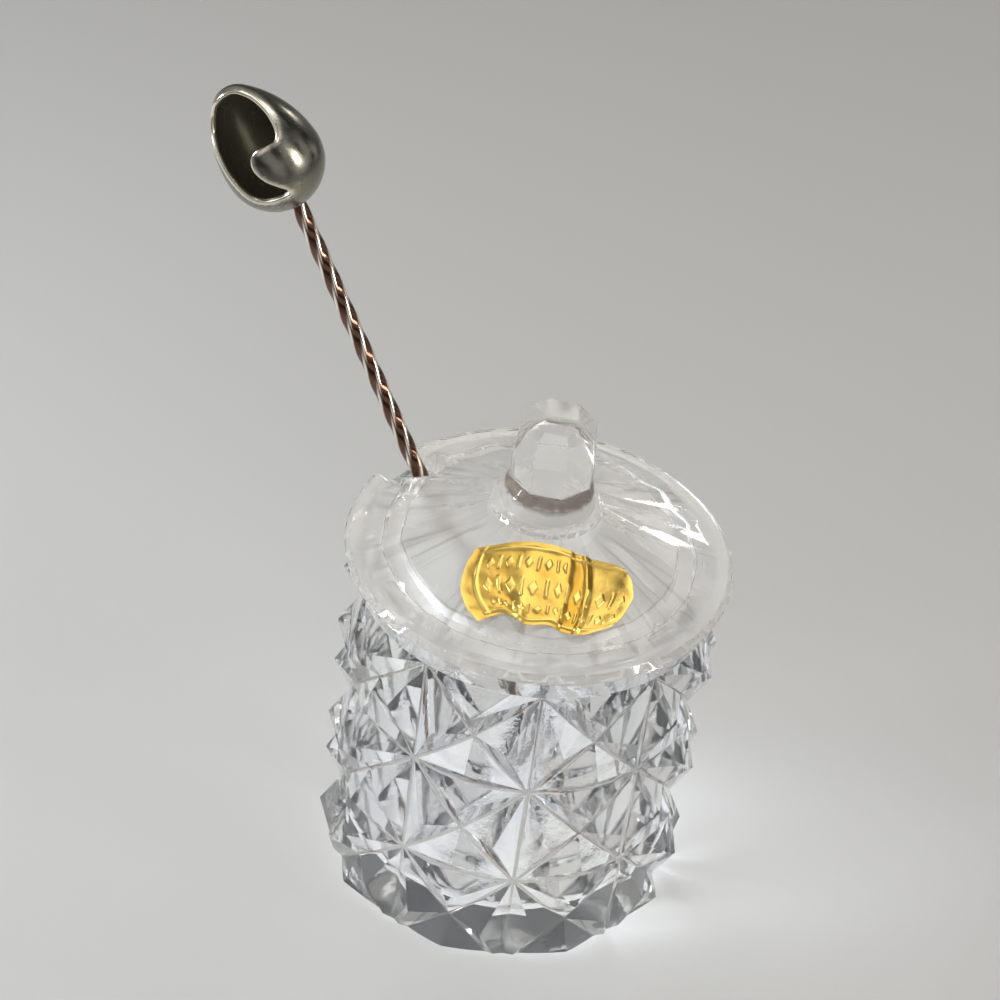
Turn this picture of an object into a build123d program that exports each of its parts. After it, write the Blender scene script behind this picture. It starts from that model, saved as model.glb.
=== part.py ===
from build123d import *
from math import cos, radians, sin, sqrt
import os

# Cut-glass honey pot: a thick jar, a lift-off lid with a knob and a spoon notch, a foil label on the
# lid, and a metal spoon that stands in the pot with its bowl up.
# Millimetres, +Z up. The origin is the centre of the jar's resting face, and the front is -Y.

# ---- Jar: star-cut side of square cells, each with grooves round its edge and across its corners
COLUMNS = 9             # upright grooves round the jar
FIRST_COLUMN = 7.0      # angle of the first upright groove from the front, towards +X
ROWS = 3                # rows of cells
ROW_PITCH = 23.4
TOP_ROW = 67.3          # height of the highest ring groove
GROOVE_RADIUS = 32.1    # at the bottom of the grooves
PEAK_RADIUS = 35.8      # at the tips of the facets
RIM_HEIGHT = 73.3       # top of the jar, where the lid rests
BAND_RADIUS = 33.6      # plain band between the top groove and the rim
BAND_SLOPE = 1.3        # height of the slope from the top groove out to the band
BASE_RADIUS = 31.4      # where the lowest facets are ground off at the foot
BASE_BEVEL = 3.2
BORE_RADIUS = 28.8
FLOOR = 7.0             # thickness of the jar's bottom
FLOOR_CORNER = 6.0
EDGE = 0.6              # small rounding on glass edges

# ---- Lid, heights from its flat underside
LID_GAP = 0.1           # the lid's underside stands this much above the rim
LID_RADIUS = 36.0
FLANGE = 2.1            # thickness of the plain outer ring
RING_RADIUS = 33.0      # inner edge of the plain ring, where the fluted dome starts
RING_BEVEL = 1.0
FLUTES = 18             # ridges that run from the collar to the ring
FIRST_FLUTE = -2.0      # angle of one groove from the front, towards +X
DOME_TOP = 17.4         # height where the lines of all ridges and grooves would meet
RIDGE_FALL = 0.434      # how much a ridge falls for each millimetre outwards
GROOVE_FALL = 0.47      # how much a groove falls for each millimetre outwards
HIP_RADIUS = 29.6       # where a ridge ends in a small triangle
COLLAR_RADIUS = 10.4
SPIGOT_RADIUS = 28.3    # ring under the lid that centres it in the bore
SPIGOT_WALL = 3.6
SPIGOT_DEPTH = 3.2
HOLLOW_TOP = 7.6        # height of the hollow under the dome
HOLLOW_RADIUS = 9.5     # where the hollow's ceiling turns flat
COLLAR_TOP = 13.2
COLLAR_LIP = 9.9
WAIST_FOOT = 17.0
WAIST_FOOT_RADIUS = 8.1
WAIST = 18.4
WAIST_RADIUS = 6.6
KNOB_SIDES = 8
KNOB_TURN = -4.0        # one flat faces the front, turned by this angle
KNOB_SECTIONS = [(18.4, 6.6), (19.8, 8.1), (30.8, 7.3), (32.0, 5.3)]   # height, corner radius

# ---- Notch for the spoon
NOTCH_ANGLE = -122.5    # towards the back left
NOTCH_WIDTH = 9.6
NOTCH_END = 28.5        # centre of the notch's round inner end

# ---- Foil label on the lid's front slope
FOIL = 0.3
FOIL_GAP = 0.05
LABEL_OUTLINE = [       # seen from above
    (-13.3, -19.2), (-12.7, -15.9), (-11.3, -13.4), (-8.4, -12.6), (-3.8, -12.0), (1.0, -11.9),
    (4.9, -12.1), (8.6, -12.2), (13.2, -11.8), (16.0, -12.6), (17.4, -16.0), (15.8, -21.7),
    (12.1, -25.0), (7.4, -27.0), (2.9, -26.4), (-0.8, -26.8), (-4.9, -25.3), (-9.2, -26.8),
    (-11.7, -24.4), (-13.0, -21.8),
]

# ---- Spoon
SPOON_LEAN = 37.4       # from upright, in the plane of the notch
SPOON_RADIUS = 26.5     # distance of its axis from the pot's axis at the height of the rim
STEM_RADIUS = 1.5
STEM_TOP = 59.4         # along the stem, from the height of the rim to the bowl's socket
SOCKET_RADIUS = 2.1
SOCKET_LENGTH = 1.2
BOWL_LENGTH = 25.8      # an egg with its wide end at the stem
BOWL_RADIUS = 9.3       # wide end
BOWL_TIP_RADIUS = 4.8
BOWL_WALL = 0.9
BOWL_OFFSET = 1.8       # the egg's wide end stands off the stem's axis towards its mouth
BOWL_SHIFT = 2.4        # and this much to the right, seen into the mouth
BOWL_TURN = 12.0        # turns the mouth about the stem, from level to upwards
BOWL_TILT = 18.0        # leans the egg from the stem towards its mouth
MOUTH_START = 0.3       # the mouth is cut from this distance in front of the egg's axis
MOUTH_OUTLINE = [       # across and along the egg: open round the tip, with a pressed-in lobe on one side
    (1.2, 26.1), (3.0, 25.5), (4.5, 24.2), (5.5, 22.6), (6.2, 21.0), (6.8, 19.4), (7.2, 17.8), (7.5, 16.3),
    (7.3, 15.3), (6.7, 14.9), (5.4, 15.2), (4.0, 15.4), (2.8, 14.8), (2.2, 13.4), (2.4, 11.8), (3.1, 10.1),
    (4.1, 8.6), (4.9, 7.0), (4.8, 5.7), (3.6, 5.2), (1.8, 5.4), (-0.4, 6.0), (-2.2, 7.3), (-3.3, 9.0),
    (-4.1, 11.0), (-4.7, 12.8), (-5.1, 14.6), (-5.4, 16.4), (-5.6, 18.2), (-5.6, 19.8), (-5.2, 21.3),
    (-4.4, 22.9), (-3.1, 24.4), (-1.3, 25.6),
]
CLEARANCE = 0.3         # between the spoon and the glass

# ---- Fineness of the facets on curved grooves
RING_STEPS = 4
SLANT_STEPS = 2

os.makedirs("parts", exist_ok=True)


def around(angle, radius, height):
    """Point at an angle from the front, turning towards +X."""
    return Vector(radius * sin(radians(angle)), -radius * cos(radians(angle)), height)


def divide(start, end, steps):
    """Places from start up to, but not including, end."""
    return [tuple(a + (b - a) * i / steps for a, b in zip(start, end)) for i in range(steps)]


def blend(start, end, share):
    """Place or value at a share of the way from start to end."""
    return tuple(a + (b - a) * share for a, b in zip(start, end))


def facet(*points):
    """Flat face through the points."""
    return Face(Wire.make_polygon(points))


def star_cut_solid(place, rows):
    """Closed solid whose side is star-cut, and whose ends are flat.

    place(column, row, depth) gives a point, with depth 0 in a groove and 1 at a facet's tip.
    Each cell has four triangles between its edges and its centre, and each triangle rises to a
    tip at its incentre, where the three facets meet.
    """
    faces = []
    for column in range(COLUMNS):
        for row in range(rows):
            centre = (column + 0.5, row + 0.5)
            corners = [(column, row), (column + 1, row), (column + 1, row + 1), (column, row + 1)]
            for start, end in zip(corners, corners[1:] + corners[:1]):
                edge_steps = RING_STEPS if start[1] == end[1] else 1
                outline = divide(start, end, edge_steps)
                outline += divide(end, centre, SLANT_STEPS) + divide(centre, start, SLANT_STEPS)
                tip = blend(blend(start, end, 0.5), centre, sqrt(2) - 1)
                for one, other in zip(outline, outline[1:] + outline[:1]):
                    faces.append(facet(place(*one, 0), place(*other, 0), place(*tip, 1)))
    for row in (0, rows):
        ring = divide((0, row), (COLUMNS, row), COLUMNS * RING_STEPS)
        faces.append(facet(*[place(*point, 0) for point in ring]))
    return Solid(Shell(faces))


def jar_place(column, row, depth):
    """Point of the jar's cut side."""
    radius = GROOVE_RADIUS + (PEAK_RADIUS - GROOVE_RADIUS) * depth
    return around(FIRST_COLUMN + column * 360 / COLUMNS, radius, TOP_ROW - row * ROW_PITCH)


def on_groove(flute, radius):
    """Point on a groove of the lid's dome."""
    return around(FIRST_FLUTE + flute * 360 / FLUTES, radius, LID_BASE + DOME_TOP - GROOVE_FALL * radius)


def ridge_height(radius, above=0.0):
    """Height of the lid's ridges at a radius, raised by a gap."""
    return LID_BASE + DOME_TOP - RIDGE_FALL * radius + above


def fluted_dome():
    """Closed solid of the lid's dome: two facets to each ridge, and a triangle at each of its ends."""
    faces = []
    for flute in range(FLUTES):
        middle = FIRST_FLUTE + (flute + 0.5) * 360 / FLUTES
        top = around(middle, COLLAR_RADIUS, ridge_height(COLLAR_RADIUS + 0.8))
        foot = around(middle, HIP_RADIUS, ridge_height(HIP_RADIUS))
        upper, lower = on_groove(flute, COLLAR_RADIUS), on_groove(flute, RING_RADIUS)
        next_upper, next_lower = on_groove(flute + 1, COLLAR_RADIUS), on_groove(flute + 1, RING_RADIUS)
        faces += [facet(upper, lower, foot), facet(upper, foot, top), facet(next_upper, foot, next_lower)]
        faces += [facet(next_upper, top, foot), facet(lower, next_lower, foot), facet(upper, top, next_upper)]
    for radius in (COLLAR_RADIUS, RING_RADIUS):
        faces.append(facet(*[on_groove(flute, radius) for flute in range(FLUTES)]))
    return Solid(Shell(faces))


# ---------------------------------------------------------------- jar body
cut_side = star_cut_solid(jar_place, ROWS)
outside = PEAK_RADIUS + 4

with BuildPart() as jar_body:
    add(cut_side)
    split(bisect_by=Plane.XY, keep=Keep.TOP)
    with BuildSketch(Plane.XZ):
        with BuildLine():
            Polyline(
                (0, TOP_ROW), (GROOVE_RADIUS, TOP_ROW), (BAND_RADIUS, TOP_ROW + BAND_SLOPE),
                (BAND_RADIUS, RIM_HEIGHT - EDGE), (BAND_RADIUS - EDGE, RIM_HEIGHT), (0, RIM_HEIGHT),
                close=True,
            )
        make_face()
    revolve(axis=Axis.Z)
    with BuildSketch(Plane.XZ):
        with BuildLine():
            Polyline(
                (BASE_RADIUS, -1), (BASE_RADIUS, 0), (outside, BASE_BEVEL * (outside - BASE_RADIUS)
                / (PEAK_RADIUS - BASE_RADIUS)), (outside, -1), close=True,
            )
        make_face()
    revolve(axis=Axis.Z, mode=Mode.SUBTRACT)
    with BuildSketch(Plane.XZ):
        with BuildLine():
            Line((0, FLOOR), (BORE_RADIUS - FLOOR_CORNER, FLOOR))
            RadiusArc((BORE_RADIUS - FLOOR_CORNER, FLOOR), (BORE_RADIUS, FLOOR + FLOOR_CORNER), -FLOOR_CORNER)
            Polyline(
                (BORE_RADIUS, FLOOR + FLOOR_CORNER), (BORE_RADIUS, RIM_HEIGHT - EDGE),
                (BORE_RADIUS + EDGE, RIM_HEIGHT), (BORE_RADIUS + EDGE, RIM_HEIGHT + 1), (0, RIM_HEIGHT + 1),
                (0, FLOOR),
            )
        make_face()
    revolve(axis=Axis.Z, mode=Mode.SUBTRACT)

# ---------------------------------------------------------------- lid
LID_BASE = RIM_HEIGHT + LID_GAP
dome_foot = DOME_TOP - GROOVE_FALL * RING_RADIUS
spigot_inner = SPIGOT_RADIUS - SPIGOT_WALL


def raised(points):
    """Profile points whose heights are measured from the lid's underside."""
    return [(x, LID_BASE + y) for x, y in points]


with BuildPart() as lid:
    add(fluted_dome())
    with BuildSketch(Plane.XZ):
        with BuildLine():
            Polyline(*raised([
                (0, 0), (LID_RADIUS - EDGE, 0), (LID_RADIUS, EDGE), (LID_RADIUS, FLANGE - RING_BEVEL),
                (LID_RADIUS - RING_BEVEL, FLANGE), (RING_RADIUS + EDGE, FLANGE),
                (RING_RADIUS, dome_foot), (0, dome_foot),
            ]), close=True)
        make_face()
    revolve(axis=Axis.Z)
    with BuildSketch(Plane.XZ):
        with BuildLine():
            Polyline(*raised([
                (spigot_inner, EDGE), (spigot_inner, -SPIGOT_DEPTH), (SPIGOT_RADIUS - EDGE, -SPIGOT_DEPTH),
                (SPIGOT_RADIUS, EDGE - SPIGOT_DEPTH), (SPIGOT_RADIUS, EDGE),
            ]), close=True)
        make_face()
    revolve(axis=Axis.Z)
    with BuildSketch(Plane.XZ):
        with BuildLine():
            Polyline(*raised([
                (0, dome_foot + 1), (COLLAR_RADIUS, DOME_TOP / 2), (COLLAR_RADIUS, COLLAR_TOP - EDGE),
                (COLLAR_LIP, COLLAR_TOP), (WAIST_FOOT_RADIUS + EDGE, COLLAR_TOP + EDGE),
                (WAIST_FOOT_RADIUS, WAIST_FOOT), (WAIST_RADIUS, WAIST), (0, WAIST),
            ]), close=True)
        make_face()
    revolve(axis=Axis.Z)
    for height, corner_radius in KNOB_SECTIONS:
        with BuildSketch(Plane.XY.offset(LID_BASE + height)):
            RegularPolygon(corner_radius, KNOB_SIDES, rotation=KNOB_TURN + 180 / KNOB_SIDES)
    loft(ruled=True)
    with BuildSketch(Plane.XZ):
        with BuildLine():
            Polyline(*raised([
                (0, -SPIGOT_DEPTH - 1), (spigot_inner, -SPIGOT_DEPTH - 1), (spigot_inner, 0),
                (HOLLOW_RADIUS, HOLLOW_TOP - EDGE), (0, HOLLOW_TOP),
            ]), close=True)
        make_face()
    revolve(axis=Axis.Z, mode=Mode.SUBTRACT)
    notch_plane = Plane(
        origin=(0, 0, LID_BASE - SPIGOT_DEPTH - 1), x_dir=around(NOTCH_ANGLE, 1, 0), z_dir=(0, 0, 1)
    )
    with BuildSketch(notch_plane):
        with Locations((NOTCH_END + LID_RADIUS / 2, 0)):
            SlotCenterToCenter(LID_RADIUS, NOTCH_WIDTH)
    extrude(amount=SPIGOT_DEPTH + COLLAR_TOP, mode=Mode.SUBTRACT)

# ---------------------------------------------------------------- foil label
with BuildPart() as foil_label:
    with BuildSketch(Plane.XY.offset(LID_BASE)):
        with BuildLine():
            Spline(*LABEL_OUTLINE, periodic=True)
        make_face()
    extrude(amount=DOME_TOP)
    with BuildSketch(Plane.XZ):
        with BuildLine():
            Polyline(
                (COLLAR_RADIUS, ridge_height(COLLAR_RADIUS, FOIL_GAP)),
                (RING_RADIUS, ridge_height(RING_RADIUS, FOIL_GAP)),
                (RING_RADIUS, ridge_height(RING_RADIUS, FOIL_GAP + FOIL)),
                (COLLAR_RADIUS, ridge_height(COLLAR_RADIUS, FOIL_GAP + FOIL)),
                close=True,
            )
        make_face()
    revolve(axis=Axis.Z, mode=Mode.INTERSECT)

# ---------------------------------------------------------------- spoon
stem_dir = around(NOTCH_ANGLE, sin(radians(SPOON_LEAN)), cos(radians(SPOON_LEAN)))
rim_point = around(NOTCH_ANGLE, SPOON_RADIUS, RIM_HEIGHT)
foot_height = FLOOR + CLEARANCE + STEM_RADIUS
stem_foot = rim_point - stem_dir * ((RIM_HEIGHT - foot_height) / cos(radians(SPOON_LEAN)))
stem_end = rim_point + stem_dir * STEM_TOP
stem_length = (stem_end - stem_foot).length

level = Vector(0, 0, 1).cross(stem_dir).normalized()
upward = stem_dir.cross(level)
facing = level * cos(radians(BOWL_TURN)) + upward * sin(radians(BOWL_TURN))
bowl_dir = stem_dir * cos(radians(BOWL_TILT)) + facing * sin(radians(BOWL_TILT))
mouth_dir = facing * cos(radians(BOWL_TILT)) - stem_dir * sin(radians(BOWL_TILT))
bowl_right = bowl_dir.cross(mouth_dir)
bowl_foot = stem_end + stem_dir * SOCKET_LENGTH + mouth_dir * BOWL_OFFSET + bowl_right * BOWL_SHIFT
bowl_section = Plane(origin=bowl_foot, x_dir=-mouth_dir, z_dir=bowl_right)
mouth_foot = bowl_foot + mouth_dir * MOUTH_START
bowl_front = Plane(origin=mouth_foot, x_dir=bowl_right, z_dir=mouth_dir)
bowl_axis = Axis(bowl_foot, bowl_dir)

with BuildPart() as spoon_stem:
    with BuildSketch(Plane(origin=stem_foot, z_dir=stem_dir)):
        Circle(STEM_RADIUS)
    extrude(amount=stem_length)
    fillet(spoon_stem.faces().sort_by(Axis(stem_foot, stem_dir))[0].edges(), STEM_RADIUS * 0.8)


def half_egg(inset):
    """Half of the bowl's outline beside its long axis, set in from the outside, closed along the axis."""
    foot, end = inset, BOWL_LENGTH - inset
    wide, narrow = BOWL_RADIUS - inset, BOWL_TIP_RADIUS - inset
    rise = end - narrow - foot - wide
    side_radius = (rise ** 2 + wide ** 2 - narrow ** 2) / (2 * (wide - narrow))
    share = side_radius / (side_radius - narrow)
    join = ((side_radius - wide) * (share - 1), foot + wide + rise * share)
    lower = TangentArc((0, foot), (wide, foot + wide), tangent=(1, 0))
    middle = TangentArc(lower @ 1, join, tangent=lower % 1)
    TangentArc(middle @ 1, (0, end), tangent=middle % 1)
    Line((0, end), (0, foot))


with BuildPart() as spoon_bowl:
    with BuildSketch(bowl_section):
        with BuildLine():
            half_egg(0)
        make_face()
    revolve(axis=bowl_axis)
    with BuildSketch(Plane(origin=stem_end, z_dir=stem_dir)):
        Circle(SOCKET_RADIUS)
    extrude(amount=SOCKET_LENGTH + 2 * BOWL_WALL)
    with BuildSketch(bowl_section):
        with BuildLine():
            half_egg(BOWL_WALL)
        make_face()
    revolve(axis=bowl_axis, mode=Mode.SUBTRACT)
    with BuildSketch(bowl_front):
        with BuildLine():
            Spline(*MOUTH_OUTLINE, periodic=True)
        make_face()
    extrude(amount=2 * BOWL_RADIUS, mode=Mode.SUBTRACT)

# ---------------------------------------------------------------- written files
pieces = {
    "jar_body": jar_body,
    "lid": lid,
    "foil_label": foil_label,
    "spoon_stem": spoon_stem,
    "spoon_bowl": spoon_bowl,
}
for name, piece in pieces.items():
    piece.part.label = name
    export_step(piece.part, f"parts/{name}.step")
    print(name, "volume", round(piece.part.volume, 1), "solids", len(piece.part.solids()))
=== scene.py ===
"""Cut-glass honey pot with a loose lid, a gold foil label and a long twisted spoon.

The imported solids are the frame. The glass pieces get their polished edges here, and the label and the spoon
are modelled again with their wrinkles, twist and beaded rim.
"""
import logging
import math
from dataclasses import dataclass, field
from enum import Enum
from typing import Any, Callable, Dict, Iterable, List, Sequence, Tuple, Union

import bmesh
import bpy
from mathutils import Matrix, Vector


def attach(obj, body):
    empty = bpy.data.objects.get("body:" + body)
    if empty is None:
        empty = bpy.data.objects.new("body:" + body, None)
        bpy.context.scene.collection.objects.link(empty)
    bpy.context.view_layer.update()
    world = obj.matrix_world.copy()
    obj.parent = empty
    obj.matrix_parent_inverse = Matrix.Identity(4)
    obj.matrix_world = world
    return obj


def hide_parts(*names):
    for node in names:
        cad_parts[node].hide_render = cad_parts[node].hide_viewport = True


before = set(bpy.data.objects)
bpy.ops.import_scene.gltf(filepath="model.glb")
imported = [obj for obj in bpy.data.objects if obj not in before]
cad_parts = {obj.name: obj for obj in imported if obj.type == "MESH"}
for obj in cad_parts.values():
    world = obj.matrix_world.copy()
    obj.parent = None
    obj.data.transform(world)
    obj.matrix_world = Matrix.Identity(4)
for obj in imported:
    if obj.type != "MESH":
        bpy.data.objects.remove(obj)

log = logging.getLogger("honey_pot")
MM = 0.001
Piece = bpy.types.Object
Node = bpy.types.Node
Nodes = bpy.types.Nodes
Links = bpy.types.NodeLinks
Colour = Tuple[float, float, float]
Plan = Tuple[float, float]
Spot = Tuple[float, float, float]
MULTIPLY = ("operation", "MULTIPLY")
MAXIMUM = ("operation", "MAXIMUM")


class Body(Enum):
    """The moving bodies of the pot."""

    POT = "pot"
    LID = "lid"
    SPOON = "spoon"


class Slot(Enum):
    """The finishes that the record names."""

    JAR_GLASS = "jar_glass"
    LID_GLASS = "lid_glass"
    GOLD_FOIL = "gold_foil"
    SPOON_METAL = "spoon_metal"


# ------------------------------------------------------------------ bench tools
def around(angle: float, radius: float, height: float) -> Vector:
    """Finds a place on a circle about the pot's axis.

    Args:
        angle: Degrees from the front, turning towards +X.
        radius: Distance from the axis, in millimetres.
        height: Height above the table, in millimetres.

    Returns:
        The place in metres.
    """
    turn = math.radians(angle)
    return Vector((radius * math.sin(turn), -radius * math.cos(turn), height)) * MM


def clear_selection() -> None:
    """Deselects every object, so that an operator acts on one piece alone."""
    bpy.ops.object.select_all(action="DESELECT")


def hold(piece: Piece) -> None:
    """Selects one piece alone and makes it active."""
    clear_selection()
    piece.select_set(True)
    bpy.context.view_layer.objects.active = piece


def named(name: str) -> Piece:
    """Names the piece that an operator has just added, and its mesh.

    Args:
        name: The piece's name.

    Returns:
        The piece.
    """
    piece = bpy.context.active_object
    piece.name = name
    piece.data.name = name
    return piece


def pick(piece: Piece, wanted: Callable[[Vector], bool], kind: str = "FACE") -> None:
    """Selects, in edit mode, the edges or faces of a piece whose middles are wanted.

    Args:
        piece: The piece in edit mode.
        wanted: Says whether a middle, in the piece's own space, is wanted.
        kind: EDGE or FACE.
    """
    bpy.ops.mesh.select_mode(type=kind)
    bpy.ops.mesh.select_all(action="DESELECT")
    grid = bmesh.from_edit_mesh(piece.data)
    for part in grid.edges if kind == "EDGE" else grid.faces:
        part.select_set(wanted(sum((vert.co for vert in part.verts), Vector()) / len(part.verts)))
    grid.select_flush_mode()
    bmesh.update_edit_mesh(piece.data)


def modify(piece: Piece, name: str, kind: str, **settings: Any) -> None:
    """Gives a piece a modifier and applies it.

    Args:
        piece: The piece.
        name: The modifier's name.
        kind: The modifier's type.
        settings: Its settings, in the order in which they are made.
    """
    modifier = piece.modifiers.new(name, kind)
    for label, value in settings.items():
        setattr(modifier, label, value)
    hold(piece)
    bpy.ops.object.modifier_apply(modifier=name)


def smooth_curve(places: Sequence[Sequence[float]], share: float, closed: bool = False) -> Vector:
    """Finds a place along a smooth curve through the given places.

    Args:
        places: Places in plan or in space, in millimetres.
        share: From 0 at the first place to 1 at the last, or round to the first again.
        closed: Whether the curve runs back to its first place.

    Returns:
        The place on the curve.
    """
    count = len(places)
    steps = count if closed else count - 1
    index = min(int(share * steps), steps - 1)
    t = share * steps - index
    near = [(index + k) % count if closed else max(0, min(steps, index + k)) for k in (-1, 0, 1, 2)]
    before, start, end, after = [Vector(places[spot]) for spot in near]
    return 0.5 * (2 * start + (end - before) * t + (2 * before - 5 * start + 4 * end - after) * t * t
                  + (3 * start - before - 3 * end + after) * t ** 3)


def mark_tarnish_and_painted_light(piece: Piece, shade: Callable[[Vector], float]) -> None:
    """Writes how dark a metal piece is at each vertex: tarnished places together with painted light and shade.

    Args:
        piece: The piece.
        shade: Gives the darkness, from 0 to 1, at a place in the piece's own space, in millimetres.
    """
    marks = piece.data.attributes.new("tarnish_and_painted_light", "FLOAT", "POINT")
    for index, vert in enumerate(piece.data.vertices):
        marks.data[index].value = shade(vert.co / MM)


def settle(piece: Piece) -> None:
    """Puts a piece's place into its mesh, so that its object sits at the origin."""
    hold(piece)
    bpy.ops.object.transform_apply(location=True, rotation=True, scale=True)


def face_outwards(piece: Piece) -> None:
    """Merges doubled vertices and turns a closed piece's faces outwards."""
    hold(piece)
    bpy.ops.object.mode_set(mode="EDIT")
    bpy.ops.mesh.select_all(action="SELECT")
    bpy.ops.mesh.remove_doubles(threshold=0.002 * MM)
    bpy.ops.mesh.normals_make_consistent(inside=False)
    bpy.ops.object.mode_set(mode="OBJECT")


def smooth(piece: Piece, angle: float = 50.0) -> None:
    """Shades a piece smooth, with edges sharper than the angle, in degrees, kept crisp."""
    hold(piece)
    bpy.ops.object.shade_smooth_by_angle(angle=math.radians(angle))


def dress(piece: Piece, finish: bpy.types.Material) -> None:
    """Gives a piece one finish all over."""
    piece.data.materials.clear()
    piece.data.materials.append(finish)


def mount(piece: Piece, body: Body, slot: Slot, *nodes: str) -> None:
    """Makes a finished piece ride on its body in place of its solids.

    Args:
        piece: The finished piece.
        body: The body that carries it.
        slot: The record's finish that it takes; not used.
        nodes: The nodes that it stands for.
    """
    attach(piece, body.value)
    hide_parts(*nodes)
    log.info("%s: %d faces on %s", piece.name, len(piece.data.polygons), body.value)


# ------------------------------------------------------------------ shader tools
def set_inputs(node: Node, values: Dict[str, Any]) -> None:
    """Sets inputs of a node, each named with an underscore for each space."""
    for label, value in values.items():
        node.inputs[label.replace("_", " ")].default_value = value


def add_node(nodes: Nodes, kind: str, option: Tuple = (), **values: Any) -> Node:
    """Adds a node to a finish or a group.

    Args:
        nodes: The nodes of the finish or group.
        kind: The node's type, without the word ShaderNode.
        option: Name and value of the one option that isn't left as it is.
        values: Values of its inputs.

    Returns:
        The node.
    """
    node = nodes.new("ShaderNode" + kind)
    if option:
        setattr(node, *option)
    set_inputs(node, values)
    return node


def add_ramp(nodes: Nodes, *stops: Tuple[float, Colour]) -> Node:
    """Adds a colour ramp.

    Args:
        nodes: The nodes of the finish.
        stops: Each a place from 0 to 1 and the colour there.

    Returns:
        The ramp's node.
    """
    node = add_node(nodes, "ValToRGB")
    for _ in stops[2:]:
        node.color_ramp.elements.new(0.5)
    for stop, (place, colour) in zip(node.color_ramp.elements, stops):
        stop.position = place
        stop.color = (*colour, 1)
    return node


def wire(links: Links, *joins: Tuple[Node, str, Node, Union[str, int]]) -> None:
    """Joins sockets.

    Args:
        links: The links of the finish or group.
        joins: Each a node, its output, the next node and its input.
    """
    for giver, output, taker, entry in joins:
        links.new(giver.outputs[output], taker.inputs[entry])


@dataclass
class ShaderBench:
    """Builds the node groups that more than one finish uses."""

    groups: Dict[str, bpy.types.NodeTree] = field(default_factory=dict)

    def group(self, name: str, inputs: Sequence[Tuple[str, float]], outputs: Sequence[str]) -> Tuple:
        """Starts a shader group whose sockets are all plain values.

        Args:
            name: The group's name.
            inputs: Name and value of each input.
            outputs: Name of each output.

        Returns:
            The group's nodes, its links, its input node and its output node.
        """
        tree = bpy.data.node_groups.new(name, "ShaderNodeTree")
        for label, value in inputs:
            socket = tree.interface.new_socket(name=label, in_out="INPUT", socket_type="NodeSocketFloat")
            socket.default_value = value
        for label in outputs:
            tree.interface.new_socket(name=label, in_out="OUTPUT", socket_type="NodeSocketFloat")
        self.groups[name] = tree
        return tree.nodes, tree.links, tree.nodes.new("NodeGroupInput"), tree.nodes.new("NodeGroupOutput")

    def build_pressed_ripple(self) -> None:
        """Builds the slow unevenness of a surface that was pressed, in glass or in metal."""
        nodes, links, sockets, out = self.group(
            "pressed_ripple", (("Size", 120.0), ("Fine Size", 900.0), ("Fine Share", 0.3)), ("Height",))
        place, mix = add_node(nodes, "TexCoord"), add_node(nodes, "Mix")
        slow, quick = add_node(nodes, "TexNoise", Detail=1.0), add_node(nodes, "TexNoise", Detail=2.0)
        wire(links, (place, "Object", slow, "Vector"), (place, "Object", quick, "Vector"),
             (sockets, "Size", slow, "Scale"), (sockets, "Fine Size", quick, "Scale"),
             (sockets, "Fine Share", mix, "Factor"), (slow, "Fac", mix, "A"), (quick, "Fac", mix, "B"),
             (mix, "Result", out, "Height"))

    def build_handling_marks(self) -> None:
        """Builds the roughness of the faint smears and hairlines that handling leaves."""
        nodes, links, sockets, out = self.group(
            "handling_marks",
            (("Clean Roughness", 0.02), ("Smeared Roughness", 0.12), ("Size", 60.0), ("Hairlines", 0.5)),
            ("Roughness",))
        place, rough = add_node(nodes, "TexCoord"), add_node(nodes, "Mix")
        smear, hairs = add_node(nodes, "TexNoise", Detail=4.0), add_node(nodes, "TexNoise", Scale=400.0, Detail=3.0)
        stretch = add_node(nodes, "Mapping", Scale=(1.0, 6.0, 0.4), Rotation=(0.4, 0.9, 0.2))
        patches = add_node(nodes, "MapRange", From_Min=0.45, From_Max=0.72)
        lines = add_node(nodes, "MapRange", From_Min=0.6, From_Max=0.68)
        thin, total = add_node(nodes, "Math", MULTIPLY), add_node(nodes, "Math", MAXIMUM)
        wire(links, (place, "Object", smear, "Vector"), (place, "Object", stretch, "Vector"),
             (stretch, "Vector", hairs, "Vector"), (sockets, "Size", smear, "Scale"),
             (smear, "Fac", patches, "Value"), (hairs, "Fac", lines, "Value"),
             (lines, "Result", thin, 0), (sockets, "Hairlines", thin, 1),
             (patches, "Result", total, 0), (thin, "Value", total, 1), (total, "Value", rough, "Factor"),
             (sockets, "Clean Roughness", rough, "A"), (sockets, "Smeared Roughness", rough, "B"),
             (rough, "Result", out, "Roughness"))

    def place(self, nodes: Nodes, name: str, **values: float) -> Node:
        """Puts a group into a finish with its own values.

        Args:
            nodes: The finish's nodes.
            name: The group's name.
            values: Values of its inputs.

        Returns:
            The group's node.
        """
        node = add_node(nodes, "Group", ("node_tree", self.groups[name]))
        set_inputs(node, values)
        return node


BENCH = ShaderBench()


def new_finish(name: str) -> Tuple[bpy.types.Material, Nodes, Links, Node]:
    """Starts a finish with one shader.

    Args:
        name: The finish's name.

    Returns:
        The material, its nodes, its links and its shader.
    """
    material = bpy.data.materials.new(name)
    material.use_nodes = True
    nodes, links = material.node_tree.nodes, material.node_tree.links
    return material, nodes, links, nodes["Principled BSDF"]


def bump_from(nodes: Nodes, links: Links, height: bpy.types.NodeSocket, shader: Node, strength: float,
              distance: float) -> None:
    """Feeds a height to a shader's normal through a bump.

    Args:
        nodes: The finish's nodes.
        links: The finish's links.
        height: The height's socket.
        shader: The shader.
        strength: Share of the bump that shows.
        distance: Depth of the bump in metres.
    """
    bump = add_node(nodes, "Bump", Strength=strength, Distance=distance)
    links.new(height, bump.inputs["Height"])
    links.new(bump.outputs["Normal"], shader.inputs["Normal"])


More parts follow.
